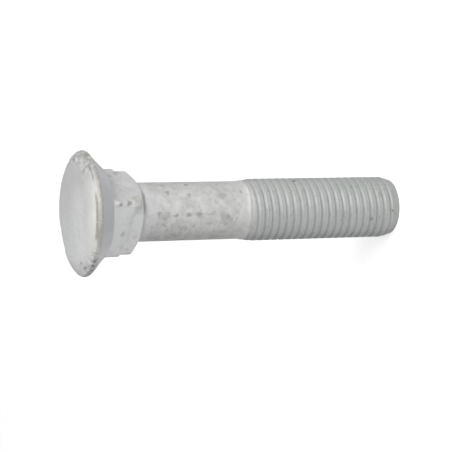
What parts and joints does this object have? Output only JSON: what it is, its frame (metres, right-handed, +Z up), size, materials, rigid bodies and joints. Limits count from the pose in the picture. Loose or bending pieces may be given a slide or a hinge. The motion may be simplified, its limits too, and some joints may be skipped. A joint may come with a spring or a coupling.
{
  "type": "plow bolt",
  "caption": "Galvanised plow bolt with a domed countersunk head, a short square neck, a plain shank and a coarse metric thread.",
  "frame": {"origin": "centre of the flat face at the tip, on the floor that the bolt stands on", "axes": "+Z up along the bolt's axis, from the tip to the head; +Y away from the viewer"},
  "size_m": [0.031, 0.031, 0.0881],
  "materials": {
    "zinc": "hot-dip galvanised steel, light grey and slightly rough, mottled, with small pits and darker thread grooves"
  },
  "bodies": {
    "root": {"bolt": "zinc"}
  },
  "joints": []
}
